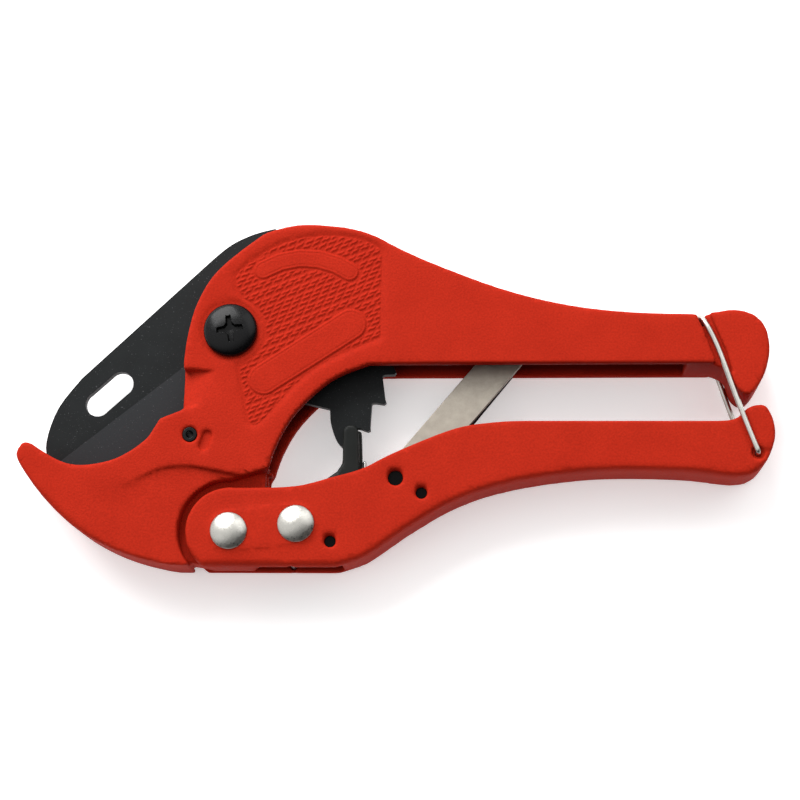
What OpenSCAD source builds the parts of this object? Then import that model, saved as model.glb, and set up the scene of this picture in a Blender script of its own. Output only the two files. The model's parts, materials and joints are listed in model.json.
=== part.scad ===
// Ratcheting pipe cutter, lying on its side with the blade closed and latched.
// X runs along the handles, Y across them, Z through the thickness.
// Every piece is drawn round the blade pivot, then moved so that the whole
// tool stands on z = 0 with its middle over the origin.

/* [Body] */
// Thickness of the cast body
body_t = 22; // [20:0.5:26]
// Wall left each side of the channel in the upper handle
wall = 3.5; // [2.5:0.5:4.5]
// Thickness of the roof of that channel
roof = 3.5; // [3:0.5:4]
// Slope of the hook's lower face, which sinks away below its crease
crease_slope = 2.2; // [1:0.1:2.6]
// Depth of the dent beside the jaw, where it meets the edge
dent_depth = 4.2; // [2:0.1:5]
// Depth of the small sunk mark
sunk_depth = 1.2; // [0.6:0.2:3]
// Depth of the grip field on the head
grip_depth = 0.6; // [0.2:0.1:0.8]

/* [Lower handle] */
// Thickness of the lower handle
handle_t = 19.6; // [18.6:0.2:19.8]
// Thickness of each of its two cheeks
cheek_t = 4.2; // [3.4:0.2:4.6]
// Thickness of its floor
floor_t = 3.5; // [3:0.5:4.5]
// Radius of its rounded end round the rivet
end_r = 12.2; // [11:0.2:12.8]

/* [Blade and ratchet] */
// Thickness of the blade
blade_t = 3; // [2:0.25:3.4]
// Gap beside the blade in its slot
slot_gap = 0.3; // [0.2:0.05:0.5]
// Angle between two ratchet notches
pitch = 11; // [10.5:0.1:11.2]
// Radius of the tooth tips
tip_r = 47.2; // [46.8:0.1:47.3]
// Radius of the notch roots
root_r = 43.7; // [43:0.1:43.9]
// Thickness left at the cutting edge
edge_t = 0.4; // [0.2:0.1:1]

/* [Pins and screws] */
// Diameter of the rivet shafts
rivet_d = 6; // [5:0.25:6.5]
// Diameter of the rivet domes
dome_d = 10.2; // [8.5:0.1:11]
// Diameter of the pivot screw's thread
screw_d = 6; // [5:0.5:6.5]
// Diameter of the pivot screw's head
screw_head_d = 15; // [13:0.2:16]
// Outer diameter of the bush that the blade turns on
bush_d = 9; // [8.5:0.25:10]
// Running clearance on the radius of every pin
fit = 0.05; // [0.02:0.01:0.09]

/* [Link and latch] */
// Width of the strip between the handles
link_w = 10; // [8:0.5:10.5]
// Thickness of the strip
link_t = 2; // [1.5:0.25:2.5]
// Diameter of the latch wire
wire_d = 1.5; // [1.2:0.1:1.6]

/* [Hidden] */
$fn = 72;

// from the blade pivot to the origin of the whole tool
to_origin = [-45.95, 17.05, 0];
eps = 0.01;

// levels through the thickness
mid_z = body_t / 2;
handle_z = mid_z - handle_t / 2;
handle_top = handle_z + handle_t;
cheek_in = handle_z + cheek_t;
channel_t = handle_t - 2 * cheek_t;
tongue_gap = 0.3;
tongue_z = cheek_in + tongue_gap;
tongue_t = channel_t - 2 * tongue_gap;
blade_z = mid_z - blade_t / 2;
slot_z = blade_z - slot_gap;
slot_t = blade_t + 2 * slot_gap;

// pivots and pins, seen from the blade pivot
rivet_at = [0.55, -56.3];
pawl_at = [19.1, -54.3];
stop_at = [-10.8, -29.5];
sunk_at = [-6.4, -31.2];
link_at = [46.4, -41.4];
anchor_at = [53.6, -45.6];
pawl_stop_at = [28.5, -59.1];
spring_pin_at = [17.5, -64];
latch_at = [146.2, -34.3];

// the link strip
link_angle = 49.75;
link_len = 54;
guide_dist = 48.65;
link_z = mid_z - link_t / 2;
guide_r = 3.8;

// the latch wire
latch_len = 41.8;
latch_angle = 111.4;
leg_groove = 0.6;
leg_gap = 0.1;
leg_low = handle_z + leg_groove - leg_gap - wire_d / 2;
leg_high = body_t - leg_low;
latch_bend = 4;
latch_open_angle = -120;

// where the crease on the hook starts
crease_from = -42;
// how far the cross pins stop short of the lower handle's faces
pin_sunk = 1.6;

// the ratchet: angle of the first notch's root, seen from the blade pivot
first_notch = -36.5;
notches = 7;
tip_lead = 1.6;
slot_r = 34.2;
tail_slot_r = 48;
hub_r = 26;

function polar(r, a) = r * [cos(a), sin(a)];
function arc(c, r, a0, a1, n) = [for (i = [0:n]) c + polar(r, a0 + (a1 - a0) * i / n)];
function blend4(a, b, c, d, t) = 0.5 * (2 * b + (c - a) * t
    + (2 * a - 5 * b + 4 * c - d) * t * t
    + (3 * b - a - 3 * c + d) * t * t * t);
// smooth curve through a few points, four steps to each stretch
function curve(p, n = 4) = [for (i = [0:len(p) - 2]) for (k = [0:n - 1])
    blend4(p[max(i - 1, 0)], p[i], p[i + 1], p[min(i + 2, len(p) - 1)], k / n)];

// ---- outlines of the two castings ----
jaw_edge = [[-55.2, -31.9], [-47.5, -36.6], [-41, -38], [-32.6, -36.6],
    [-26.4, -33.4], [-22.4, -30.1]];
jaw_corner = [[-22.4, -30.1], [-19.3, -24.9], [-13, -22.4]];
head_arc = [[-13, -8.4], [-12, -0.6], [-9.5, 8.4], [-4.1, 17.4], [6.6, 26.4],
    [11.6, 29.1], [19.9, 30.7], [32.3, 29.8], [40.6, 27.3]];
handle_top_edge = [[40.6, 27.3], [48.9, 22.8], [61.3, 17.4], [77.9, 11.3],
    [94.5, 7.3], [111.1, 5.3], [130.9, 4.6]];
knob_edge = [[130.9, 4.6], [135.9, 5.3], [140.1, 5.9], [145, 4.8], [148.6, 1.4],
    [149.9, -4.2], [149.2, -9.6], [147.2, -14.6], [143.9, -18.2], [140.6, -16.4],
    [138.4, -11.4], [134, -9.3]];
inner_curve = [[39, -9.6], [28.5, -14.1], [18.8, -23.1], [13.5, -32.1], [10.8, -40.5]];
hook_bottom = [[-17.4, -65.5], [-25.7, -63.5], [-34, -60.3], [-42.3, -55.4],
    [-50.6, -47.8], [-57.6, -38.6], [-59.2, -34.6], [-57.4, -31.7], [-55.2, -31.9]];
recess_r = 14.3;
body_outline = concat(curve(jaw_edge), jaw_corner, curve(head_arc),
    curve(handle_top_edge), curve(knob_edge), [[134, -9.3]], curve(inner_curve),
    arc(rivet_at, recess_r, 88, 225, 24), curve(hook_bottom));

// the sunk field on the head that holds the grip pattern
grip_field = concat(arc([0, 0], 9.3, -80, 70, 16), [[0.9, 12], [0.3, 16]],
    curve([[5.5, 20.8], [14.4, 25.9], [25.4, 28], [34, 27.3], [40.6, 25], [42.7, 22.2]]),
    [[42.7, 22.2], [42.5, -2.5]], curve([[36.2, -5.1], [23.2, -11.8], [12.2, -23.1], [7.2, -27.8]]),
    [[7.2, -27.8], [5, -26.2]]);

handle_bottom = [[30, -66], [38.5, -63], [48.9, -55.8], [61.3, -48.4],
    [73.8, -43.7], [90.3, -40.5], [108, -39.1], [127.6, -39.6], [139, -41]];
handle_end = [[139, -41], [144, -40.4], [148.4, -36.8], [151.1, -28.7],
    [148.8, -21.4], [144.2, -21.4], [140.2, -24.7], [135.5, -25.3]];
handle_top_curve = [[81.5, -25.3], [73.8, -25.7], [62.4, -27.6], [45.9, -34.3],
    [37, -38.8], [28.2, -41.3], [19.9, -43.5], [10, -44.2]];
handle_outline = concat(curve(handle_bottom), curve(handle_end), [[135.5, -25.3]],
    curve(handle_top_curve), arc(rivet_at, end_r, 84, 232.7, 26));

// the blade: cutting edge first, then the back, the teeth and the hub
heel_angle = -117;
edge_heel = polar(hub_r, heel_angle);
edge_tip = [-40, -45.5];
edge_angle = atan2(edge_heel[1] - edge_tip[1], edge_heel[0] - edge_tip[0]);
bevel_w = 13;
nose_curve = [[-40, -45.5], [-46.5, -42.2], [-51.4, -36], [-52.6, -30],
    [-49.5, -20.3], [-43.1, -11.7]];
back_curve = [[-6.8, 22.7], [-1.4, 27.2], [5, 30.3], [11, 31.9]];
shoulder = [polar(33.4, 65), polar(36.2, 50), polar(43.6, 31)];
tail_back = [[31.6, -32], [29.4, -29.5], [27.8, -24.8], [27.5, -20.6]];
// going clockwise: a tooth's rounded tip, its face, and the root of the notch at angle a
function tooth(a) = [polar(tip_r - 0.7, a + tip_lead + 1.6), polar(tip_r, a + tip_lead + 0.6),
    polar(tip_r - 0.4, a + tip_lead - 0.3), polar(root_r + 0.8, a + 0.5),
    polar(root_r, a - 0.1), polar(root_r + 0.1, a - 0.9)];
teeth = [for (k = [notches - 2:-1:0]) each tooth(first_notch + pitch * k)];
blade_outline = concat(curve(nose_curve), [[-43.1, -11.7]], curve(back_curve), [[11, 31.9]],
    shoulder, [polar(root_r, first_notch + pitch * (notches - 1) - 0.6)], teeth,
    [polar(root_r + 1.5, first_notch - 4.6)], curve(tail_back), [[27.5, -20.6]],
    arc([0, 0], hub_r, -45, heel_angle, 18));

// the pawl, drawn where it sits in the first notch
pawl_hub_r = 4.6;
pawl_arm = [[16.4, -50.6], [21, -57.9], [27, -57.2], [34.2, -49.5], [36.2, -41], [35.9, -30],
    [35.6, -26.7], [34.6, -25.7], [32.6, -25.7], [31.4, -26.9], [31.4, -36.4],
    [29.9, -38.8], [27.2, -40.7], [22.5, -43.8]];
pawl_web = [[36.5, -27.2], [36.8, -36], [36.6, -41], [34.6, -49.2], [29.5, -54.6], [28, -52],
    [31.6, -46], [32.8, -40], [33.1, -34.6], [35.25, -26.65]];
pawl_gap = 3.8;
pawl_t = 9.6;

module place() {
    translate(to_origin) children();
}

// a slab of an outline between two levels
module slab(outline, z, t) {
    translate([0, 0, z]) linear_extrude(t) polygon(outline);
}

module post(at, d, z, t) {
    translate([at[0], at[1], z]) cylinder(d = d, h = t);
}

// round-ended bar between two points; its sides stand in a hair, so no faces only touch
module stadium(a, b, d, z, t) {
    run = b - a;
    side_in = 0.05;
    post(a, d, z, t);
    post(b, d, z, t);
    translate([a[0], a[1], z]) rotate([0, 0, atan2(run[1], run[0])])
        translate([0, side_in - d / 2, 0]) cube([norm(run), d - 2 * side_in, t]);
}

// the same cut in the front face and in the back face
module both_faces() {
    children();
    translate([0, 0, body_t]) mirror([0, 0, 1]) children();
}

// ---- cuts in the body ----
module blade_slot() {
    sweep_end = first_notch - pitch * notches - 2;
    tail_room = concat([[0, 0]], arc([0, 0], tail_slot_r, sweep_end, 24, 46),
        [polar(45.6, 31), polar(41, 40), polar(37.4, 50), polar(35.4, 57), polar(slot_r - 1, 62)]);
    below = polar(0.9, edge_angle - 90);
    hook_room = concat([[-4, -18], edge_heel + below, edge_tip + below],
        arc([0, 0], 63.6, 228.2, 204, 10), [[-20, 0]]);
    post([0, 0], 2 * slot_r, slot_z, slot_t);
    slab(tail_room, slot_z, slot_t);
    slab(hook_room, slot_z, slot_t);
}

module handle_channel() {
    inside = [[120, -12], [127, -12], [127, 4.6 - roof], [111.1, 5.3 - roof], [94.5, 7.3 - roof],
        [77.9, 11.3 - roof], [61.3, 17.2 - roof], [52, 20.8 - roof], [46, 12], [43, 0], [37.5, -3.6]];
    jaw_side = [[30, -6.4], [18.6, -14.5], [10.4, -25], [7.4, -32], [5.8, -38]];
    slab(concat(inside, jaw_side, [[14, -38.2], [30, -20], [46, -12]]), wall, body_t - 2 * wall);
}

module latch_grooves() {
    depth = leg_low + wire_d / 2 + 0.3;
    groove = [[129.4, 6.5], [135.4, -10], [139.6, -12], [138, -6], [132.8, 6.5]];
    bar_at = latch_at + polar(latch_len, latch_angle);
    both_faces() slab(groove, -eps, depth);
    both_faces() translate([bar_at[0], bar_at[1], -eps]) rotate([0, 0, latch_angle])
        translate([-3.2, -wire_d / 2 - 0.25, 0]) cube([3.2, wire_d + 0.5, leg_low + latch_bend]);
    post(bar_at, wire_d + 0.5, -eps, body_t + 2 * eps);
    translate([bar_at[0] - wire_d / 2 - 0.25, bar_at[1], -eps])
        cube([wire_d + 0.5, 4, body_t + 2 * eps]);
}

// the step on the hook, the dent beside the jaw, the small sunk mark and the grip field
module face_relief() {
    band = concat(curve([[-50, -47.4], [-43, -46.5], [-34.3, -45.7], [-28.2, -44], [-23, -41.3],
        [-17.8, -39.1], [-10.9, -38.5], [-3.9, -39.6], [4.7, -41], [12, -40]]), [[12, -70], [-60, -70]]);
    dent = [[0, 0.5], [16, 0], [16, -7.6], [0, -11]];
    both_faces() translate([crease_from, 0, 0]) rotate([0, -crease_slope, 0])
        translate([-crease_from, 0, 0]) slab(band, -6, 6);
    both_faces() translate([-14.5, -11.8, dent_depth]) rotate([9, 21, 0]) slab(dent, -8, 8);
    stadium(sunk_at - polar(1.6, 72), sunk_at + polar(1.6, 72), 2.6, body_t - sunk_depth, 4);
    slab(grip_field, body_t - grip_depth, 2);
}

nut_af = 10;
nut_t = 5;
bush_len = 11;
module body() {
    tongue_root = [[-2, -66.2], [-14, -64], [-16, -50], [-6, -41.4], [10.3, -40], [9.9, -46], rivet_at];
    rear_lip = [[1.8, -43.6], [10.2, -43.6], [10.7, -39.5], [8, -36], [2, -38]];
    place() color([0.80, 0.18, 0.16]) difference() {
        union() {
            slab(body_outline, 0, body_t);
            slab(tongue_root, tongue_z, tongue_t);
            slab(rear_lip, 0, wall - 0.2);
            post(rivet_at, 2 * end_r - 2.2, tongue_z, tongue_t);
        }
        translate([-20, -80, -1]) cube([40, 80 - 65.8, body_t + 2]);
        blade_slot();
        handle_channel();
        latch_grooves();
        face_relief();
        post([0, 0], screw_d + 2 * fit, -1, body_t + 2);
        post([0, 0], bush_d + 2 * fit, mid_z - bush_len / 2 - 0.2, bush_len + 0.4);
        post([0, 0], screw_head_d + 2.2, body_t - 0.6, 1);
        translate([0, 0, -eps]) cylinder(d = (nut_af + 0.4) / cos(30), h = nut_t + 0.4, $fn = 6);
        post(stop_at, 4 + 2 * fit, -1, body_t + 2);
        post(rivet_at, rivet_d + 2 * fit, -1, body_t + 2);
    }
}

// ---- lower handle ----
module lower_handle() {
    floor_line = [[31.5, -66 + floor_t], [38.5, -62.6 + floor_t], [48.9, -55.2 + floor_t],
        [61.3, -47.9 + floor_t], [73.8, -43.4 + floor_t], [90.3, -40.3 + floor_t],
        [108, -39.1 + floor_t], [126, -39.5 + floor_t], [132, -32]];
    channel = concat([[-20, -80], [31.5, -80]], floor_line, [[132, -20], [-20, -20]]);
    pad_t = 0.4;
    place() color([0.80, 0.17, 0.15]) difference() {
        union() {
            slab(handle_outline, handle_z, handle_t);
            stadium(rivet_at, pawl_at, 11.8, handle_z - pad_t, handle_t + 2 * pad_t);
        }
        slab(channel, cheek_in, channel_t);
        for (at = [rivet_at, pawl_at]) post(at, rivet_d + 2 * fit, -1, body_t + 2);
        post(link_at, 4.2 + 2 * fit, -1, body_t + 2);
        for (at = [anchor_at, pawl_stop_at]) post(at, 3.2 + 2 * fit, -1, body_t + 2);
        post(spring_pin_at, 2 + 2 * fit, cheek_in - 2, channel_t + 4);
        post(latch_at, wire_d + 2 * fit, -1, body_t + 2);
        both_faces() leg_grooves();
    }
}

// where the wire's leg lies when latched, and when swung away
module leg_grooves() {
    for (a = [latch_angle, latch_angle + latch_open_angle])
        translate([latch_at[0], latch_at[1], -eps]) rotate([0, 0, a]) translate([0, -1.4, 0])
            cube([24, 2.8, handle_z + leg_groove + eps]);
    translate([latch_at[0], latch_at[1], -eps]) cylinder(r = 1.7, h = handle_z + 1.6);
}

// ---- blade and its pivot ----
module blade() {
    place() color([0.15, 0.17, 0.18]) difference() {
        slab(blade_outline, blade_z, blade_t);
        post([0, 0], bush_d + 2 * fit, -1, body_t + 2);
        stadium([-38.3, -19.2], [-31.9, -13.4], 7, 0, body_t);
        for (side = [-1, 1]) bevel(side);
    }
}

// a long thin wedge taken off one face along the cutting edge
module bevel(side) {
    slope = (blade_t - edge_t) / 2 / bevel_w;
    near = -0.5;
    far = bevel_w + 1;
    wedge = [[near, edge_t / 2 + near * slope], [far, edge_t / 2 + far * slope], [far, 4], [near, 4]];
    translate([edge_tip[0], edge_tip[1], mid_z]) rotate([0, 0, edge_angle])
        translate([-20, 0, 0]) rotate([90, 0, 90]) linear_extrude(64)
            polygon([for (p = wedge) [p[0], side * p[1]]]);
}

module blade_screw() {
    head_h = 3.4;
    head_z = body_t - 0.5;
    place() color([0.07, 0.07, 0.08]) difference() {
        union() {
            post([0, 0], screw_d, 0.6, head_z - 0.6 + 0.2);
            translate([0, 0, head_z]) rotate_extrude() polygon(concat([[0, 0], [screw_head_d / 2, 0]],
                [for (i = [0:12]) [screw_head_d / 2 * cos(i * 7.5), 0.8 + (head_h - 0.8) * sin(i * 7.5)]]));
        }
        for (turn = [8, 98]) translate([0, 0, head_z + head_h]) rotate([0, 0, turn])
            cube([7.4, 1.5, 4.4], center = true);
    }
}

module blade_bush() {
    place() color([0.72, 0.62, 0.42]) difference() {
        post([0, 0], bush_d, mid_z - bush_len / 2, bush_len);
        post([0, 0], screw_d + 2 * fit, 0, body_t);
    }
}

module blade_nut() {
    place() color([0.55, 0.55, 0.56]) difference() {
        translate([0, 0, 0.3]) cylinder(d = nut_af / cos(30), h = nut_t, $fn = 6);
        post([0, 0], screw_d + 2 * fit, -1, body_t);
    }
}

// a rolled pin, open down its middle
module blade_stop_pin() {
    place() color([0.09, 0.09, 0.10]) difference() {
        post(stop_at, 4, 0.4, body_t - 0.6);
        post(stop_at, 2, -1, body_t + 2);
    }
}

// ---- rivets and pins ----
module rivet(at) {
    seat = handle_top + 0.4;
    height = 2.2;
    translate([at[0], at[1], 0]) {
        translate([0, 0, handle_z]) cylinder(d = rivet_d, h = seat - handle_z + 0.2);
        translate([0, 0, seat]) rotate_extrude() polygon(concat([[0, 0], [dome_d / 2, 0]],
            [for (i = [0:12]) [dome_d / 2 * cos(i * 7.5), 0.3 + (height - 0.3) * sin(i * 7.5)]]));
    }
}

module handle_rivet() {
    place() color([0.78, 0.77, 0.75]) rivet(rivet_at);
}

module pawl_rivet() {
    place() color([0.78, 0.77, 0.75]) rivet(pawl_at);
}

module cross_pin(at, d) {
    place() color([0.12, 0.12, 0.13]) post(at, d, handle_z + pin_sunk, handle_t - 2 * pin_sunk);
}

module pawl_stop_pin() {
    cross_pin(pawl_stop_at, 3.2);
}

// this one sits in blind holes between the cheeks
module pawl_spring_pin() {
    place() color([0.12, 0.12, 0.13]) post(spring_pin_at, 2, cheek_in - 1.9, channel_t + 3.8);
}

module link_pin() {
    cross_pin(link_at, 4.2);
}

module spring_anchor_pin() {
    cross_pin(anchor_at, 3.2);
}

// ---- pawl ----
module pawl() {
    place() color([0.16, 0.17, 0.16]) difference() {
        union() {
            slab(pawl_arm, mid_z - pawl_t / 2, pawl_t);
            post(pawl_at, 2 * pawl_hub_r, mid_z - pawl_t / 2, pawl_t);
        }
        difference() {
            translate([10, -64, mid_z - pawl_gap / 2]) cube([30, 50, pawl_gap]);
            slab(pawl_web, 0, body_t);
        }
        post(pawl_at, rivet_d + 2 * fit, -1, body_t + 2);
    }
    place() color([0.16, 0.17, 0.16]) slab(pawl_web, mid_z - pawl_gap / 2, pawl_gap);
}

// wound wire: close turns round a pin, drawn as one sleeve
module coil(at, mean_r, d, z, turns) {
    difference() {
        post(at, 2 * mean_r + d, z, turns * d);
        post(at, 2 * mean_r - d, z - 1, turns * d + 2);
    }
}

// a bent leg of wire at one level, square where the real wire is round
module wire_path(points, z, d) {
    past = 0.3 * d;
    for (i = [0:len(points) - 2]) {
        run = points[i + 1] - points[i];
        translate([points[i][0], points[i][1], z]) rotate([0, 0, atan2(run[1], run[0])])
            translate([-past, -d / 2, 0]) cube([norm(run) + 2 * past, d, d]);
    }
}

module pawl_spring() {
    d = 1.1;
    r = 3.75;
    turns = 3;
    z = mid_z - turns * d / 2;
    place() color([0.75, 0.74, 0.72]) {
        coil(pawl_at, r, d, z, turns);
        wire_path([pawl_at + [0.5, -r], [29.5, -56.3], [35.4, -49.6], [37.4, -41], [37.4, -36]],
            z + (turns - 1) * d, d);
        wire_path([pawl_at + [-r, 0.5], spring_pin_at + [-1.6, 0.4]], z, d);
    }
}

// ---- link between the handles, with its spring ----
module along_link() {
    translate([link_at[0], link_at[1], 0]) rotate([0, 0, link_angle]) children();
}

module link() {
    place() color([0.72, 0.69, 0.65]) along_link() difference() {
        union() {
            translate([0, 0, link_z]) cylinder(d = link_w, h = link_t);
            translate([link_len, 0, link_z]) cylinder(d = link_w, h = link_t);
            translate([0, -link_w / 2, link_z]) cube([link_len, link_w, link_t]);
        }
        translate([0, 0, -1]) cylinder(d = 4.2 + 2 * fit, h = body_t + 2);
        translate([guide_dist, 0, -1]) cylinder(d = 3 + 2 * fit, h = body_t + 2);
    }
}

module link_spacer() {
    place() color([0.66, 0.65, 0.63]) difference() {
        post(link_at, 7, link_z + link_t + 0.15, cheek_in + channel_t - link_z - link_t - 0.35);
        post(link_at, 4.2 + 2 * fit, 0, body_t);
    }
}

module link_guide_pin() {
    place() color([0.62, 0.61, 0.60]) along_link()
        translate([guide_dist, 0, mid_z - 6]) cylinder(d = 3, h = 12);
}

module link_guide_rollers() {
    h = 4;
    place() color([0.20, 0.20, 0.20]) along_link() for (side = [-1, 1])
        translate([guide_dist, 0, mid_z + side * (link_t / 2 + 0.2 + h / 2)]) difference() {
            cylinder(r = guide_r, h = h, center = true);
            cylinder(d = 3 + 2 * fit, h = h + 1, center = true);
        }
}

module handle_spring() {
    d = 1.2;
    r = 3.9;
    turns = 3.5;
    z = cheek_in + 0.15;
    edge = link_angle - 90;
    place() color([0.10, 0.10, 0.10]) {
        coil(link_at, r, d, z, turns);
        wire_path([link_at + polar(r, edge), link_at + polar(9, link_angle) + polar(5.3, edge),
            link_at + polar(44, link_angle) + polar(4.6, edge)], z + (turns - 1) * d, d);
        wire_path([link_at + [0.6, -r], anchor_at + [3, 3.5]], z, d);
    }
}

// ---- latch ----
module latch_wire() {
    small_bend = 1.2;
    straight = latch_len - latch_bend;
    place() color([0.80, 0.78, 0.75]) translate([latch_at[0], latch_at[1], 0]) rotate([0, 0, latch_angle]) {
        for (side = [0, 1]) translate([0, 0, side * body_t]) mirror([0, 0, side]) translate([0, 0, leg_low]) {
            translate([small_bend, 0, 0]) rotate([0, 90, 0])
                cylinder(d = wire_d, h = straight - small_bend, $fn = 32);
            translate([0, 0, small_bend]) cylinder(d = wire_d, h = 4 - small_bend, $fn = 32);
            wire_bend(small_bend, small_bend, -180);
            wire_bend(straight, latch_bend, -90);
        }
        translate([latch_len, 0, leg_low + latch_bend])
            cylinder(d = wire_d, h = leg_high - leg_low - 2 * latch_bend, $fn = 32);
    }
}

// a quarter turn of the latch wire, upright, with its middle at x and r above the leg
module wire_bend(x, r, from) {
    translate([x, 0, r]) rotate([90, 0, 0]) rotate([0, 0, from])
        rotate_extrude(angle = 90) translate([r, 0]) circle(d = wire_d, $fn = 32);
}

body();
lower_handle();
blade();
blade_screw();
blade_bush();
blade_nut();
blade_stop_pin();
handle_rivet();
pawl_rivet();
pawl();
pawl_spring();
pawl_stop_pin();
pawl_spring_pin();
link();
link_pin();
link_spacer();
link_guide_pin();
link_guide_rollers();
handle_spring();
spring_anchor_pin();
latch_wire();
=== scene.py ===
import json
import math

import bmesh
import bpy
import numpy as np
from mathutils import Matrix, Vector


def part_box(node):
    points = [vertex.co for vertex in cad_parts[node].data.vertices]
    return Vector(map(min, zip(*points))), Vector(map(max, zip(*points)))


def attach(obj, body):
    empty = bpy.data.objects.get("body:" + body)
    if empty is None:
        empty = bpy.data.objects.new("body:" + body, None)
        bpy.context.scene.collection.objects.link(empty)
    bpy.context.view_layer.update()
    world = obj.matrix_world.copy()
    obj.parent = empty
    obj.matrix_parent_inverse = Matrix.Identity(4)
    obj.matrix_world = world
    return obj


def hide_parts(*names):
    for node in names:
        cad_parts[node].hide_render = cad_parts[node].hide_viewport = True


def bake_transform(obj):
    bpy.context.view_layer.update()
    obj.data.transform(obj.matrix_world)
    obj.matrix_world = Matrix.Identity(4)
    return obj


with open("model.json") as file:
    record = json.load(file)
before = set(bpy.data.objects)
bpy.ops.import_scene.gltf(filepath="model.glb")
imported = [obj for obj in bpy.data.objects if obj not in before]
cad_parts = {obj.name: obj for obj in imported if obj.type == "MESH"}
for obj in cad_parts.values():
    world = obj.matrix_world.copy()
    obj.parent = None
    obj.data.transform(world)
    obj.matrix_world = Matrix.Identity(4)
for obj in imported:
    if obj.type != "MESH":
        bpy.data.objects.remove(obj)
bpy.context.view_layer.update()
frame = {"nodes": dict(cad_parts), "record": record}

import openvdb
from mathutils import Matrix, Vector

# Ratcheting pipe cutter. The castings and the pawl are rounded with level sets of their CAD solids,
# and the other steel parts get eased edges. The grip field, pivot screw, rivets, springs and latch
# wire are built here, in millimetres from the blade pivot, and scaled() puts them into the frame.

MM = 0.001
FINE = 1.0  # how much coarser voxels and grids are

record = frame["record"]
slot_of = {part["node"]: part["material_slot"] for part in record["subparts"]}
body_of = {node: body for body, nodes in record["behaviour"]["bodies"].items() for node in nodes}


def middle(node):
    """Centre of a CAD node's box in the frame, in millimetres."""
    low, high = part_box(node)
    return (low + high) / (2 * MM)


def levels(node):
    """Lowest and highest level of a CAD node above the floor, in millimetres."""
    low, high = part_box(node)
    return low.z / MM, high.z / MM


def half_width(node):
    """Half of a CAD node's size along X, in millimetres."""
    low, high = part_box(node)
    return (high.x - low.x) / (2 * MM)


pivot = middle("blade_screw")
front_z = levels("body")[1]
mid_z = front_z / 2


def scaled(points):
    """Points in millimetres from the blade pivot, as frame coordinates in metres."""
    points = np.asarray(points, float)
    return (points + np.array([pivot.x, pivot.y, 0.0])) * MM


def from_pivot(node):
    """Place of a CAD node's middle, seen from the blade pivot, in millimetres."""
    spot = middle(node)
    return np.array([spot.x - pivot.x, spot.y - pivot.y])


def ease(value, low, high):
    """Smooth step from 0 at low to 1 at high."""
    t = np.clip((value - low) / (high - low), 0, 1)
    return t * t * (3 - 2 * t)


def polar(radius, degrees):
    return radius * np.array([math.cos(math.radians(degrees)), math.sin(math.radians(degrees))])


# ---------------------------------------------------------------- meshes
def mesh_object(name, points, faces, smooth=True):
    """A new mesh object from points in metres."""
    mesh = bpy.data.meshes.new(name)
    mesh.from_pydata([tuple(p) for p in points], [], [tuple(f) for f in faces])
    mesh.validate()
    mesh.polygons.foreach_set("use_smooth", [smooth] * len(mesh.polygons))
    mesh.update()
    made = bpy.data.objects.new(name, mesh)
    bpy.context.scene.collection.objects.link(made)
    return made


def stands_for(piece, node):
    """The piece takes the place, body, slot and finish of a CAD node."""
    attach(piece, body_of[node])
    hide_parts(node)
    dress(piece, slot_of[node])


def dress(piece, slot):
    """Gives the piece a material slot of the record, and the finish made for it."""
    piece.data.materials.clear()
    piece.data.materials.append(finishes[slot])


def surface_of(node):
    """Vertices in millimetres and triangles of a CAD node."""
    mesh = frame["nodes"][node].data
    mesh.calc_loop_triangles()
    points = np.empty(len(mesh.vertices) * 3, np.float32)
    mesh.vertices.foreach_get("co", points)
    triangles = np.empty(len(mesh.loop_triangles) * 3, np.int32)
    mesh.loop_triangles.foreach_get("vertices", triangles)
    return points.reshape(-1, 3) / MM, triangles.reshape(-1, 3).astype(np.uint32)


def even_shading(piece):
    """Weighs normals by face size, so that flats stay flat beside narrow rounds."""
    weighted = piece.modifiers.new("even_shading", "WEIGHTED_NORMAL")
    weighted.keep_sharp = False


def sharpen(piece, degrees):
    """Marks edges sharper than the angle, so flats and rounds shade apart."""
    shape = bmesh.new()
    shape.from_mesh(piece.data)
    for edge in shape.edges:
        if len(edge.link_faces) == 2:
            edge.smooth = edge.calc_face_angle() < math.radians(degrees)
    shape.to_mesh(piece.data)
    shape.free()


def distances(points, voxel, band, **faces):
    """Level set of a closed surface."""
    transform = openvdb.createLinearTransform(voxelSize=voxel)
    return openvdb.FloatGrid.createLevelSetFromPolygons(
        np.ascontiguousarray(points, np.float32), transform=transform, halfWidth=band, **faces)


def round_outside(grid, voxel, radius, under_radius, under_below, half_t):
    """Rounds the outer rim of a flat casting, where its walls meet its two faces.

    The rim has under_radius where it faces down and lies below the Y under_below. Gives the
    rounded level set, the distance from each column of it to the outline, and its lowest cell."""
    fade = 3
    low, high = grid.evalActiveVoxelBoundingBox()
    size = [b - a + 1 for a, b in zip(low, high)]
    field = np.full(size, grid.background, np.float32)
    grid.copyToArray(field, ijk=low)
    outline = field.min(axis=2)
    faces_down = ease(-np.gradient(outline, voxel, axis=1), 0.1, 0.8)
    y = (np.arange(size[1]) + low[1]) * voxel - pivot.y
    share = faces_down * ease(under_below - y, -fade, fade)[None, :]
    radius = (radius + (under_radius - radius) * share)[:, :, None]
    height = (np.arange(size[2]) + low[2]) * voxel
    face = (np.abs(height - mid_z) - half_t)[None, None, :].astype(np.float32)
    past_wall = np.maximum(outline[:, :, None] + radius, 0)
    past_face = np.maximum(face + radius, 0)
    rim = np.hypot(past_wall, past_face) - radius
    rounded = openvdb.FloatGrid(grid.background)
    rounded.transform = grid.transform
    rounded.copyFromArray(np.maximum(field, rim).astype(np.float32), ijk=low)
    return rounded, outline, low


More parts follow.
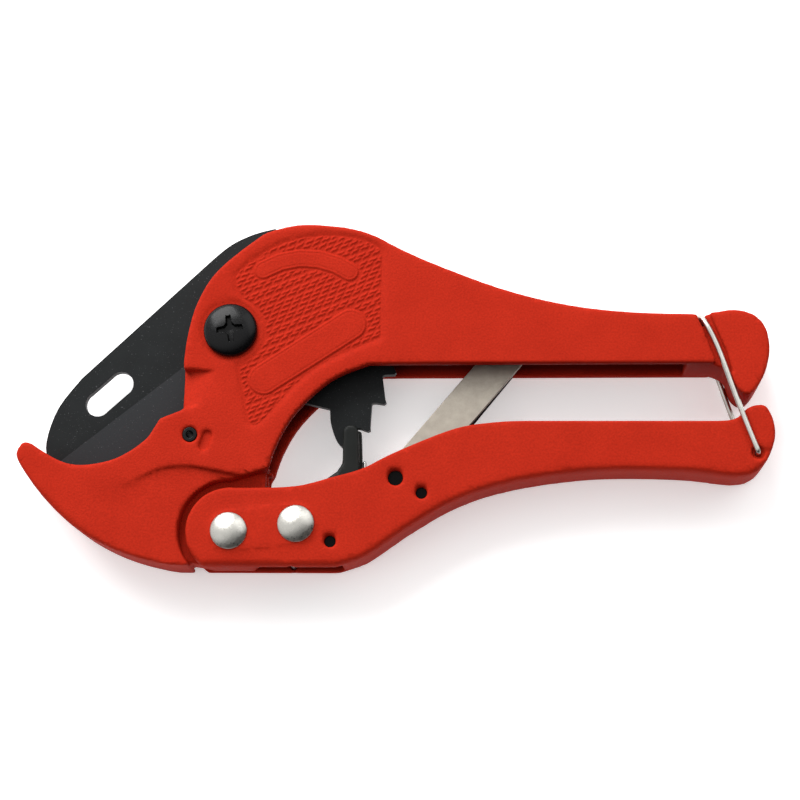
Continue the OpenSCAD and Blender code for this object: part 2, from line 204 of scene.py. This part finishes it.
def paint_channel_shade(made, outline, low, voxel, half_t, from_y):
    """Stores how far inside a casting each point lies, 1 in its channels and slots and 0 outside:
    the mask for the painted shade there.
    """
    skin, skin_fade, y_fade = 2.2, 1.6, 3
    co = np.array([v.co for v in made.data.vertices]) / MM
    cell = np.round(co[:, :2] / voxel).astype(int) - np.array(low[:2])
    cell = np.clip(cell, 0, np.array(outline.shape) - 1)
    from_wall = -outline[cell[:, 0], cell[:, 1]]
    from_face = half_t - skin - np.abs(co[:, 2] - mid_z)
    # painted shade: only points deep in the channels and slots, above the given Y, are darkened
    above = co[:, 1] - pivot.y - from_y
    buried = ease(from_face, 0, skin_fade) * ease(above, 0, y_fade)
    shade = made.data.attributes.new("inside", "FLOAT", "POINT")
    shade.data.foreach_set("value", (ease(from_wall, 0.5, 1.9) * buried).astype(np.float32))


def softened_casting(name, node, voxel, edge_radius, rim=None, painted_shade_from=None):
    """A casting with rounded edges: the CAD solid, rounded at its rim and then everywhere else.

    rim is (radius, radius on the underside, Y below which that one holds), and the last argument is
    the Y above which channels get painted shade. A part without a rim is rounded everywhere alike."""
    flat_merge = 0.12
    points, triangles = surface_of(node)
    largest = max(rim[:2] + (edge_radius,)) if rim else edge_radius
    band = int(largest / voxel) + 3
    grid = distances(points, voxel, band, triangles=triangles)
    if rim:
        low, high = levels(node)
        half_t = (high - low) / 2
        grid, outline, corner = round_outside(grid, voxel, *rim, half_t)
    inner, tris, quads = grid.convertToPolygons(isovalue=-edge_radius, adaptivity=0)
    grid = distances(inner, voxel, band, triangles=tris, quads=quads)
    outer, tris, quads = grid.convertToPolygons(isovalue=edge_radius, adaptivity=flat_merge)
    faces = [f[::-1] for f in tris.tolist()] + [f[::-1] for f in quads.tolist()]
    made = mesh_object(name, np.asarray(outer, float) * MM, faces)
    if rim:
        paint_channel_shade(made, outline, corner, voxel, half_t, painted_shade_from)
    even_shading(made)
    stands_for(made, node)


def eased(name, node, width):
    """A steel part with its edges eased: the CAD solid with a narrow round on every sharp edge."""
    merge, flat, crease = 0.002, math.radians(1), math.radians(28)
    points, triangles = surface_of(node)
    made = mesh_object(name, points * MM, triangles.tolist())
    shape = bmesh.new()
    shape.from_mesh(made.data)
    bmesh.ops.remove_doubles(shape, verts=shape.verts, dist=merge * MM)
    bmesh.ops.dissolve_limit(shape, angle_limit=flat, verts=shape.verts, edges=shape.edges)
    sharp = [e for e in shape.edges if len(e.link_faces) == 2 and e.calc_face_angle() > crease]
    bmesh.ops.bevel(shape, geom=sharp, offset=width * MM, segments=2, profile=0.5,
                    affect="EDGES", clamp_overlap=True)
    for face in shape.faces:
        face.smooth = True
    shape.to_mesh(made.data)
    shape.free()
    even_shading(made)
    stands_for(made, node)


def lathe_faces(rings, steps):
    """Faces of a closed round part: a top point, rings of steps points each, and an end point."""
    after = [(k + 1) % steps for k in range(steps)]
    faces = [[0, 1 + k, 1 + after[k]] for k in range(steps)]
    for ring in range(rings - 1):
        first = 1 + ring * steps
        second = first + steps
        faces += [[first + k, second + k, second + after[k], first + after[k]]
                  for k in range(steps)]
    last = 1 + (rings - 1) * steps
    return faces + [[last + after[k], last + k, last + steps] for k in range(steps)]


def turned(name, profile, centre, steps=120):
    """A turned part: a profile of (radius, level) points from the axis round to the axis again."""
    points = [[*centre, profile[0][1]]]
    for radius, level in profile[1:-1]:
        points += [[*(centre + polar(radius, 360 * k / steps)), level] for k in range(steps)]
    points.append([*centre, profile[-1][1]])
    return mesh_object(name, scaled(points), lathe_faces(len(profile) - 2, steps))


def filleted(points, radius, steps=8):
    """A path with its corners rounded."""
    most, straight = 0.49, 0.05
    points = [np.asarray(p, float) for p in points]
    path = [points[0]]
    for before, corner, after in zip(points, points[1:], points[2:]):
        back, ahead = before - corner, after - corner
        reach_back, reach_ahead = np.linalg.norm(back), np.linalg.norm(ahead)
        back, ahead = back / reach_back, ahead / reach_ahead
        turn = math.pi - math.acos(np.clip(np.dot(back, ahead), -1, 1))
        if turn < straight:
            path.append(corner)
            continue
        cut = min(radius * math.tan(turn / 2), most * reach_back, most * reach_ahead)
        start, end = corner + back * cut, corner + ahead * cut
        for i in range(steps + 1):
            t = i / steps
            path.append((1 - t) ** 2 * start + 2 * t * (1 - t) * corner + t * t * end)
    path.append(points[-1])
    return path


def wire(name, path, diameter, sides=20):
    """A round wire swept along a path in millimetres, with domed ends."""
    apart, off_axis, dome = 1e-4, [0.31, 0.2, 0.93], (0.4, 0.8, 1.2)
    path = np.array(path, float)
    gaps = np.linalg.norm(path[1:] - path[:-1], axis=1)
    path = path[[0] + [i + 1 for i, gap in enumerate(gaps) if gap > apart]]
    along = np.gradient(path, axis=0)
    along /= np.linalg.norm(along, axis=1)[:, None]
    side = np.cross(along[0], off_axis)
    frames = []
    for step in along:
        side = side - np.dot(side, step) * step
        side /= np.linalg.norm(side)
        frames.append((side.copy(), np.cross(step, side)))
    radius = diameter / 2
    start_dome = [(path[0] - along[0] * radius * math.sin(a), frames[0], radius * math.cos(a))
                  for a in reversed(dome)]
    end_dome = [(path[-1] + along[-1] * radius * math.sin(a), frames[-1], radius * math.cos(a))
                for a in dome]
    length = [(p, f, radius) for p, f in zip(path, frames)]
    rings = [[centre + r * (u * math.cos(b) + v * math.sin(b))
              for b in np.linspace(0, 2 * math.pi, sides, endpoint=False)]
             for centre, (u, v), r in start_dome + length + end_dome]
    points = [p for ring in rings for p in ring]
    faces = [list(range(sides))[::-1], [len(points) - sides + k for k in range(sides)]]
    for ring in range(len(rings) - 1):
        for k in range(sides):
            after = (k + 1) % sides
            faces.append([ring * sides + k, ring * sides + after,
                          (ring + 1) * sides + after, (ring + 1) * sides + k])
    return mesh_object(name, scaled(points), faces)


# ---------------------------------------------------------------- materials
NOISE_LOW, NOISE_HIGH = 0.3, 0.7  # most values of a noise lie between these
MIX_INPUTS, MIX_RESULT = (6, 7), 2  # a Mix node's colour sockets


def new_material(name):
    """A material, with its nodes, links, shader and object coordinates."""
    made = bpy.data.materials.new(name)
    made.use_nodes = True
    nodes, links = made.node_tree.nodes, made.node_tree.links
    shader = nodes["Principled BSDF"]
    place = nodes.new("ShaderNodeTexCoord")
    return made, nodes, links, shader, place.outputs["Object"]


def noise(nodes, links, place, size_mm, detail=3.0):
    """Noise whose grain is about size_mm across."""
    made = nodes.new("ShaderNodeTexNoise")
    made.inputs["Scale"].default_value = 1 / (size_mm * MM)
    made.inputs["Detail"].default_value = detail
    links.new(place, made.inputs["Vector"])
    return made.outputs["Fac"]


def ramp(nodes, links, value, stops):
    """Colour ramp through two stops of (position, colour)."""
    made = nodes.new("ShaderNodeValToRGB")
    for element, (position, colour) in zip(made.color_ramp.elements, stops):
        element.position = position
        element.color = (*colour, 1)
    links.new(value, made.inputs["Fac"])
    return made.outputs["Color"]


def shades(nodes, links, value, low, high):
    """Colours noise from the low colour to the high one."""
    return ramp(nodes, links, value, [(NOISE_LOW, low), (NOISE_HIGH, high)])


def spread(nodes, links, value, low, high):
    """Maps noise to the range low to high."""
    made = nodes.new("ShaderNodeMapRange")
    made.inputs["From Min"].default_value = NOISE_LOW
    made.inputs["From Max"].default_value = NOISE_HIGH
    made.inputs["To Min"].default_value = low
    made.inputs["To Max"].default_value = high
    links.new(value, made.inputs["Value"])
    return made.outputs["Result"]


def bump(nodes, links, shader, value, depth_mm, strength=1.0, under=None):
    """Raises the shader's surface by a value, on top of another bump if one is given."""
    made = nodes.new("ShaderNodeBump")
    made.inputs["Strength"].default_value = strength
    made.inputs["Distance"].default_value = depth_mm * MM
    links.new(value, made.inputs["Height"])
    if under:
        links.new(under, made.inputs["Normal"])
    links.new(made.outputs["Normal"], shader.inputs["Normal"])
    return made.outputs["Normal"]


def mixed(nodes, links, factor, first, second, blend="MIX"):
    """Mixes two colours, each a plain colour or a socket, by a socket or a plain number."""
    made = nodes.new("ShaderNodeMix")
    made.data_type = "RGBA"
    made.blend_type = blend
    if isinstance(factor, float):
        made.inputs["Factor"].default_value = factor
    else:
        links.new(factor, made.inputs["Factor"])
    for socket, colour in zip(MIX_INPUTS, (first, second)):
        if isinstance(colour, tuple):
            made.inputs[socket].default_value = (*colour, 1)
        else:
            links.new(colour, made.inputs[socket])
    return made.outputs[MIX_RESULT]


def red_paint():
    """Semi-matt red paint with a fine grain over a die casting, with painted shade in the channels.
    """
    made, nodes, links, shader, place = new_material("red_paint")
    cloud = noise(nodes, links, place, size_mm=9, detail=4)
    grain = noise(nodes, links, place, size_mm=0.55, detail=3)
    wave = noise(nodes, links, place, size_mm=2.2, detail=2)
    colour = shades(nodes, links, cloud, (0.40, 0.019, 0.0075), (0.435, 0.0215, 0.0085))
    speck = shades(nodes, links, grain, (0.80, 0.80, 0.80), (1, 1, 1))
    tinted = mixed(nodes, links, 1.0, colour, speck, blend="MULTIPLY")
    # painted shade: the inside mask mixes the paint toward a near-black maroon that stands in for
    # the channels' shadow
    inside = nodes.new("ShaderNodeAttribute")
    inside.attribute_name = "inside"
    shaded = mixed(nodes, links, inside.outputs["Fac"], tinted, (0.10, 0.004, 0.001))
    links.new(shaded, shader.inputs["Base Color"])
    links.new(spread(nodes, links, grain, 0.52, 0.66), shader.inputs["Roughness"])
    shader.inputs["Specular IOR Level"].default_value = 0.025
    broad = bump(nodes, links, shader, wave, depth_mm=0.03, strength=0.6)
    bump(nodes, links, shader, grain, depth_mm=0.09, under=broad)
    return made


def dark_steel(name, face, ground, roughness, grain_mm=0.3, specks=0.0):
    """Blackened steel: face colour on the flats, a lighter ground colour on slanted faces."""
    made, nodes, links, shader, place = new_material(name)
    level, slanted = 0.9992, 0.9975
    grain = noise(nodes, links, place, grain_mm, detail=4)
    cloud = noise(nodes, links, place, size_mm=6)
    tilt = nodes.new("ShaderNodeNewGeometry")
    upright = nodes.new("ShaderNodeSeparateXYZ")
    links.new(tilt.outputs["True Normal"], upright.inputs["Vector"])
    flat = nodes.new("ShaderNodeMath")
    flat.operation = "ABSOLUTE"
    links.new(upright.outputs["Z"], flat.inputs[0])
    slant = nodes.new("ShaderNodeMapRange")
    slant.inputs["From Min"].default_value = level
    slant.inputs["From Max"].default_value = slanted
    links.new(flat.outputs["Value"], slant.inputs["Value"])
    dark = tuple(c * 0.75 for c in face)
    colour = mixed(nodes, links, slant.outputs["Result"],
                   shades(nodes, links, cloud, dark, face), ground)
    if specks:
        spots = noise(nodes, links, place, size_mm=0.35, detail=1)
        dots = ramp(nodes, links, spots, [(0.70, (0, 0, 0)), (0.78, (specks, specks, specks))])
        colour = mixed(nodes, links, dots, colour, (0.25, 0.26, 0.27))
    links.new(colour, shader.inputs["Base Color"])
    shader.inputs["Specular IOR Level"].default_value = 0.13
    rough = spread(nodes, links, grain, roughness - 0.06, roughness + 0.08)
    links.new(rough, shader.inputs["Roughness"])
    bump(nodes, links, shader, grain, depth_mm=0.01, strength=0.5)
    return made


def plated(name, colour, roughness, grain_mm=0.25, depth_mm=0.004):
    """Bare or plated metal, with fine variation in shade and polish."""
    made, nodes, links, shader, place = new_material(name)
    grain = noise(nodes, links, place, grain_mm, detail=4)
    cloud = noise(nodes, links, place, size_mm=3)
    dull = tuple(c * 0.82 for c in colour)
    links.new(shades(nodes, links, cloud, dull, colour), shader.inputs["Base Color"])
    shader.inputs["Metallic"].default_value = 1.0
    rough = spread(nodes, links, grain, roughness * 0.75, roughness * 1.3)
    links.new(rough, shader.inputs["Roughness"])
    bump(nodes, links, shader, grain, depth_mm, strength=0.6)
    return made


def gloss_black(name, colour, roughness, shine):
    """Blackened steel with some gloss: the pivot screw, the pins and the lever's spring."""
    made, nodes, links, shader, place = new_material(name)
    grain = noise(nodes, links, place, size_mm=0.5)
    dark = tuple(c * 0.6 for c in colour)
    links.new(shades(nodes, links, grain, dark, colour), shader.inputs["Base Color"])
    rough = spread(nodes, links, grain, roughness * 0.7, roughness * 1.4)
    links.new(rough, shader.inputs["Roughness"])
    shader.inputs["Specular IOR Level"].default_value = shine
    bump(nodes, links, shader, grain, depth_mm=0.006, strength=0.4)
    return made


finishes = {
    "red_paint": red_paint(),
    "blade_steel": dark_steel(
        "blade_steel", face=(0.008, 0.0095, 0.010), ground=(0.021, 0.023, 0.025),
        roughness=0.45, specks=0.25),
    "black_steel": gloss_black("black_steel", (0.003, 0.003, 0.0035), roughness=0.24, shine=0.2),
    "bronze": plated("bronze", (0.55, 0.38, 0.2), roughness=0.4),
    "zinc_steel": plated("zinc_steel", (0.52, 0.52, 0.53), roughness=0.32),
    "nickel": plated(
        "nickel", (0.60, 0.585, 0.54), roughness=0.32, grain_mm=0.6, depth_mm=0.001),
    "pawl_steel": dark_steel(
        "pawl_steel", face=(0.009, 0.0105, 0.0095), ground=(0.010, 0.011, 0.010),
        roughness=0.42, grain_mm=0.4),
    "spring_steel": plated("spring_steel", (0.55, 0.54, 0.52), roughness=0.25),
    "pin_steel": gloss_black("pin_steel", (0.0022, 0.002, 0.002), roughness=0.45, shine=0.05),
    "strip_steel": plated(
        "strip_steel", (0.40, 0.36, 0.305), roughness=0.42, grain_mm=0.35, depth_mm=0.006),
    "black_spring": gloss_black("black_spring", (0.004, 0.004, 0.0045), roughness=0.3, shine=0.3),
}


# ---------------------------------------------------------------- pieces
def castings():
    """The body with its fixed handle, and the lower handle."""
    softened_casting("cast_body", "body", voxel=0.36 * FINE, edge_radius=0.45,
                     rim=(0.7, 2.0, -45), painted_shade_from=-41)
    softened_casting("cast_lever", "lower_handle", voxel=0.34 * FINE, edge_radius=0.45,
                     rim=(0.9, 2.6, -30), painted_shade_from=-70)


def grip_relief(x, y):
    """Height of the grip pattern, up to 1: short tilted ridges in rows that climb to the right.

    Sines of the row and cell numbers stand in for chance, so the pattern is the same each time."""
    slope = math.radians(21)
    row_gap, dash, lean_mean, half_w, wave = 1.25, 2.9, 0.22, 0.25, 0.13
    along = x * math.cos(slope) + y * math.sin(slope)
    across = -x * math.sin(slope) + y * math.cos(slope)
    height = np.zeros_like(x)
    base_row = np.floor(across / row_gap)
    for step in (-1, 0, 1, 2):
        row = base_row + step
        shift = 0.5 * (row % 2) + 0.22 * np.sin(row * 12.9898)
        cell = np.floor(along / dash + shift)
        phase = along / dash + shift - cell - 0.5
        jitter = np.sin(row * 78.233 + cell * 37.719) * 0.16
        lean = lean_mean + 0.12 * np.sin(row * 4.1 + cell * 9.7)
        off = across - (row + jitter) * row_gap - lean * phase * dash
        off = off + wave * np.sin(phase * 9)
        ends = np.clip(1.25 - np.abs(2 * phase) ** 3 * 1.25, 0, 1)
        height = np.maximum(height, np.exp(-(off / half_w) ** 2) * ends)
    return height


def segment_distance(x, y, start, end):
    """Distance to the straight line between two points."""
    (ax, ay), (bx, by) = start, end
    dx, dy = bx - ax, by - ay
    t = np.clip(((x - ax) * dx + (y - ay) * dy) / (dx * dx + dy * dy), 0, 1)
    return np.hypot(x - ax - t * dx, y - ay - t * dy)


def near_path(x, y, path):
    """Distance to an open path."""
    return np.minimum.reduce([segment_distance(x, y, a, b) for a, b in zip(path, path[1:])])


def edge_distance(x, y, outline):
    """Distance to a closed outline, positive inside."""
    inside = np.zeros(x.shape, bool)
    for (ax, ay), (bx, by) in zip(outline, np.roll(outline, -1, axis=0)):
        crosses = (ay > y) != (by > y)
        inside ^= crosses & (x < ax + (y - ay) * (bx - ax) / ((by - ay) or 1e-9))
    away = near_path(x, y, [*outline, outline[0]])
    return np.where(inside, away, -away)


def slab_faces(x, y, top, bottom, keep):
    """A closed slab under a height field, over the cells whose four corners are kept."""
    rows, columns = x.shape
    cells = keep[:-1, :-1] & keep[1:, :-1] & keep[1:, 1:] & keep[:-1, 1:]
    index = np.arange(rows * columns).reshape(rows, columns)
    corners = (index[:-1, :-1], index[1:, :-1], index[1:, 1:], index[:-1, 1:])
    quads = np.stack([corner[cells] for corner in corners], axis=1)
    used = np.unique(quads)
    count = len(used)
    number = np.full(rows * columns, -1)
    number[used] = np.arange(count)
    quads = number[quads]
    spots = np.stack([x.ravel()[used], y.ravel()[used]], axis=1)
    points = np.concatenate([np.column_stack([spots, top.ravel()[used]]),
                             np.column_stack([spots, np.full(count, bottom)])])
    edges = np.concatenate([quads[:, [k, (k + 1) % 4]] for k in range(4)])
    keys = {tuple(e) for e in edges.tolist()}
    rim = sorted(e for e in keys if (e[1], e[0]) not in keys)
    faces = quads.tolist() + (quads[:, ::-1] + count).tolist()
    faces += [[b, a, a + count, b + count] for a, b in rim]
    return faces, points


def grip_panel():
    """The patterned field on the head, with its two blank pads, set in the casting's recess."""
    recess, ring_r, margin, thickness = 0.6, 9.3, 0.6, 0.5
    ridge_h, pad_h, groove, floor_h, sunk = 0.40, 0.50, 0.14, 0.06, 0.02
    round_screw = [polar(ring_r, a) for a in np.linspace(-80, 70, 17)]
    outline = np.array(round_screw + [np.array(p) for p in [
        (0.9, 12), (0.3, 16), (2.6, 18.6), (5.5, 20.8), (9.8, 23.7), (14.4, 25.9), (19.8, 27.5),
        (25.4, 28), (30, 27.9), (34, 27.3), (37.6, 26.5), (40.6, 25), (42.1, 23.8), (42.7, 22.2),
        (42.5, -2.5), (36.2, -5.1), (29.5, -7.9), (23.2, -11.8), (17.3, -17), (12.2, -23.1),
        (9.8, -26.1), (7.2, -27.8), (5, -26.2)]])
    upper_arc = [polar(22, a) + np.array([20.5, -1.2]) for a in (122, 108, 94, 80, 66, 55)]
    lower_line = [(9.6, -13.9), (33.6, 1.7)]
    step = 0.26 * FINE
    low, high = outline.min(axis=0) - margin, outline.max(axis=0) + margin
    xs, ys = np.arange(low[0], high[0], step), np.arange(low[1], high[1], step)
    x, y = np.meshgrid(xs, ys, indexing="ij")
    inner = edge_distance(x, y, outline)
    pads = np.maximum(2.5 - near_path(x, y, upper_arc), 4.3 - near_path(x, y, lower_line))
    pattern = ridge_h * grip_relief(x, y)
    floor = floor_h * ease(inner, 0.1, 0.9)
    height = sunk + floor + pattern * ease(inner, 0.45, 1.1) * (1 - ease(pads, -0.75, -0.35))
    height = np.maximum(height, pad_h * ease(pads, -0.2, 0.2))
    height = height - groove * ease(pads, 0.45, 0.7) * (1 - ease(pads, 0.7, 1.0))
    base = front_z - recess
    faces, points = slab_faces(x, y, base + height, base - thickness, inner > -0.45)
    made = mesh_object("grip_panel", scaled(points), faces)
    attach(made, "upper_body")
    dress(made, "red_paint")


def cross_recess(x, y):
    """Depth of the cross recess in the pivot screw's head."""
    turn, reach, hub_r, half_w, taper = math.radians(8), 3.7, 1.75, 0.92, 0.07
    depth, rise = 2.2, 0.12
    u = x * math.cos(turn) + y * math.sin(turn)
    v = -x * math.sin(turn) + y * math.cos(turn)
    away = np.hypot(x, y)
    width = half_w - taper * away
    arms = np.minimum(np.maximum(np.abs(v) - width, np.abs(u) - reach),
                      np.maximum(np.abs(u) - width, np.abs(v) - reach))
    inside = np.minimum(arms, away - hub_r)
    return (depth - rise * away) * ease(-inside, -0.04, 0.16)


def pivot_screw():
    """The black cross-head screw that the blade turns on."""
    rim, shank_r, neck_r, chamfer = 0.8, 3.0, 3.2, 0.4
    steps, dome_rings = 180, 72
    head_r = half_width("blade_screw")
    low, top = levels("blade_screw")
    seat = front_z - 0.5
    height = top - seat
    radii = head_r * np.sin(np.linspace(0, math.pi / 2, dome_rings + 1)[1:])
    angles = np.linspace(0, 2 * math.pi, steps, endpoint=False)
    r, a = np.meshgrid(radii, angles, indexing="ij")
    x, y = r * np.cos(a), r * np.sin(a)

    def head_level(x, y, radius):
        bulge = np.sqrt(np.clip(1 - (radius / head_r) ** 2, 0, 1))
        return seat + rim + (height - rim) * bulge - cross_recess(x, y)

    points = [[0, 0, float(head_level(0.0, 0.0, 0.0))]]
    points += np.column_stack([x.ravel(), y.ravel(), head_level(x, y, r).ravel()]).tolist()
    tail = [(head_r, seat), (neck_r, seat), (shank_r, seat - 0.4), (shank_r, low + 0.5),
            (shank_r - chamfer, low)]
    for radius, level in tail:
        points += [[radius * math.cos(b), radius * math.sin(b), level] for b in angles]
    points.append([0, 0, low])
    made = mesh_object("pivot_screw", scaled(points), lathe_faces(dome_rings + len(tail), steps))
    sharpen(made, 40)
    stands_for(made, "blade_screw")


def rivet(name, node):
    """A domed rivet, with its upset tail on the back."""
    rim, shank_r = 0.3, 3
    top = levels(node)[1]
    reach = half_width(node)
    back, seat = levels("lower_handle")
    crown = [(reach * f, seat + rim + (top - seat - rim) * (1 - f ** 1.7) ** 0.8)
             for f in np.sin(np.linspace(0.05, math.pi / 2, 30))]
    head_edge = [(reach, seat + 0.1), (reach - 0.12, seat), (shank_r, seat - 0.2)]
    upset = [(shank_r, back + 0.4), (3.7, back), (3.6, back - 0.25), (3.0, back - 0.5),
             (1.8, back - 0.45), (0.9, back - 0.2)]
    profile = [(0, top)] + crown + head_edge + upset + [(0, back - 0.1)]
    made = turned(name, profile, from_pivot(node))
    sharpen(made, 50)
    stands_for(made, node)


def coil(centre, radius, start_z, end_z, start, end, per_turn=40):
    """Turns of wire round an upright pin, from one angle to another."""
    count = int(abs(end - start) / 360 * per_turn)
    return [[*(centre + polar(radius, start + (end - start) * i / count)),
             start_z + (end_z - start_z) * i / count] for i in range(count + 1)]


def lever_spring():
    """The black torsion spring round the link's pin; its long leg lies along the strip."""
    wire_d, radius, link_angle = 1.2, 3.9, 49.75
    pin, anchor = from_pivot("link_pin"), from_pivot("spring_anchor_pin")
    low = levels("handle_spring")[0] + wire_d / 2
    high = low + 2.55 * wire_d
    edge = link_angle - 90
    foot = [*(anchor + np.array([3, 3.5])), low]
    turns = coil(pin, radius, low, high, -82, 3 * 360 + edge)
    leg = [[*(pin + polar(12, link_angle) + polar(5.25, edge)), high],
           [*(pin + polar(44, link_angle) + polar(4.6, edge)), high]]
    made = wire("lever_spring", [foot] + turns + leg, wire_d)
    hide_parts("handle_spring")
    dress(made, "black_spring")
    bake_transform(made)


def pawl_torsion_spring():
    """The bright torsion spring between the pawl's cheeks; its long leg lies along the hook."""
    wire_d, radius, leg_bend = 1.1, 3.75, 5
    pin, rest = from_pivot("pawl_rivet"), from_pivot("pawl_spring_pin")
    low = levels("pawl_spring")[0] + wire_d / 2
    high = low + 2 * wire_d
    foot = [*(rest + np.array([-1.6, 0.4])), low]
    turns = coil(pin, radius, low, high, 180, 3 * 360 - 90)
    leg = [[29.5, -56.3, high], [35.4, -49.6, high], [37.4, -41, high], [37.4, -36, high]]
    path = [foot] + turns + filleted([turns[-1]] + leg, leg_bend)[1:]
    made = wire("pawl_return_spring", path, wire_d, 14)
    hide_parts("pawl_spring")
    dress(made, "spring_steel")
    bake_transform(made)


def bowed(path, foot, head):
    """The path with its long runs bent sideways a little, most at three quarters of the way up."""
    bow, rise, step = 0.9, 2.4, 1.5
    span = np.linalg.norm(head - foot)
    along = (head - foot) / span
    aside = np.array([along[1], -along[0], 0])
    dense = [np.asarray(path[0], float)]
    for a, b in zip(path, path[1:]):
        a, b = np.asarray(a, float), np.asarray(b, float)
        count = max(1, round(np.linalg.norm(b - a) / step))
        dense += [a + (b - a) * k / count for k in range(1, count + 1)]
    reach = [np.clip(np.dot(p[:2] - foot, along) / span, 0, 1) for p in dense]
    return [p + aside * bow * math.sin(math.pi * t ** rise) for p, t in zip(dense, reach)]


def latch():
    """The sprung wire that holds the handles together, turned in at both ends."""
    wire_d, length, angle, tip_length = 1.5, 41.8, 111.4, 4
    foot_bend, head_bend = 1.2, 5
    low, high = levels("latch_wire")
    low, high = low + wire_d / 2, high - wire_d / 2
    foot = np.array([146.2, -34.3])
    head = foot + polar(length, angle)
    tip, heel, crest = [*foot, low + tip_length], [*foot, low], [*head, low]
    run = filleted([tip, heel, crest], foot_bend)[:-1]
    rear = run + filleted([run[-1], crest, [*head, mid_z]], head_bend, 14)[1:]
    front = [[p[0], p[1], low + high - p[2]] for p in reversed(rear)]
    made = wire("latch_bow", bowed(rear + front[1:], foot, head), wire_d, 16)
    stands_for(made, "latch_wire")


def steel_parts():
    """The blade, strip, pawl, pins, pivot screw and rivets."""
    eased("blade_plate", "blade", 0.12)
    eased("link_strip", "link", 0.18)
    softened_casting("pawl_hook", "pawl", voxel=0.2 * FINE, edge_radius=0.5)
    for node in ("blade_bush", "blade_nut", "blade_stop_pin", "pawl_stop_pin", "pawl_spring_pin",
                 "link_pin", "link_spacer", "link_guide_pin", "link_guide_rollers",
                 "spring_anchor_pin"):
        eased("eased_" + node, node, 0.2)
    pivot_screw()
    rivet("handle_rivet_dome", "handle_rivet")
    rivet("pawl_rivet_dome", "pawl_rivet")


# ---------------------------------------------------------------- studio
def studio_floor():
    """A plain pale floor, just under the object. Its glow keeps the soft shadow light."""
    half, z = 1.6, -0.0002
    corners = [[-half, -half, z], [half, -half, z], [half, half, z], [-half, half, z]]
    floor = mesh_object("floor", corners, [[0, 1, 2, 3]], smooth=False)
    made, nodes, links, shader, place = new_material("pale_floor")
    cloud = noise(nodes, links, place, size_mm=400, detail=2)
    links.new(shades(nodes, links, cloud, (0.88, 0.88, 0.88), (0.9, 0.9, 0.9)),
              shader.inputs["Base Color"])
    shader.inputs["Roughness"].default_value = 0.9
    shader.inputs["Specular IOR Level"].default_value = 0.1
    shader.inputs["Emission Color"].default_value = (1, 1, 1, 1)
    shader.inputs["Emission Strength"].default_value = 0.4
    floor.data.materials.append(made)


def softbox(name, spot, power):
    """A square lamp that points at the middle of the floor."""
    lamp = bpy.data.lights.new(name, "AREA")
    lamp.shape = "RECTANGLE"
    lamp.size = lamp.size_y = 0.8
    lamp.energy = power
    made = bpy.data.objects.new(name, lamp)
    bpy.context.scene.collection.objects.link(made)
    made.location = spot
    made.rotation_mode = "QUATERNION"
    made.rotation_quaternion = (-Vector(spot)).to_track_quat("-Z", "Y")


def studio_light():
    """A world that is bright at the upper left and dim at the lower right, and two softboxes."""
    brightest_from = (-0.42, 0.62, 0.66)
    world = bpy.data.worlds.new("studio")
    world.use_nodes = True
    nodes, links = world.node_tree.nodes, world.node_tree.links
    place = nodes.new("ShaderNodeTexCoord")
    facing = nodes.new("ShaderNodeVectorMath")
    facing.operation = "DOT_PRODUCT"
    facing.inputs[1].default_value = brightest_from
    links.new(place.outputs["Generated"], facing.inputs[0])
    tone = ramp(nodes, links, facing.outputs["Value"],
                [(0.06, (0.03, 0.03, 0.03)), (0.5, (1.0, 1.0, 1.0))])
    links.new(tone, nodes["Background"].inputs["Color"])
    nodes["Background"].inputs["Strength"].default_value = 1.0
    bpy.context.scene.world = world
    softbox("key", (-0.38, 0.72, 0.62), power=14)
    softbox("fill", (0.6, 0.42, 0.5), power=2)
    bpy.context.scene.view_settings.view_transform = "Standard"


def camera():
    """The main view: from over the front face and a little toward the lower handle's side."""
    distance, lens_mm, roll = 620, 102.7, 0.008
    eye = Vector((28.65, -123.95, front_z + distance)) * MM
    target = Vector((1.65, -2.83, front_z)) * MM
    ahead = (target - eye).normalized()
    right = ahead.cross(Vector((0, 1, 0))).normalized()
    up = right.cross(ahead)
    tilted_right = right * math.cos(roll) + up * math.sin(roll)
    tilted_up = up * math.cos(roll) - right * math.sin(roll)
    data = bpy.data.cameras.new("camera")
    data.sensor_width = 36
    data.lens = lens_mm
    data.clip_start, data.clip_end = 0.01, 20
    made = bpy.data.objects.new("camera", data)
    bpy.context.scene.collection.objects.link(made)
    turn = Matrix((tilted_right, tilted_up, -ahead)).transposed()
    made.matrix_world = Matrix.Translation(eye) @ turn.to_4x4()
    bpy.context.scene.camera = made


camera()
studio_light()
studio_floor()
castings()
grip_panel()
steel_parts()
lever_spring()
pawl_torsion_spring()
latch()
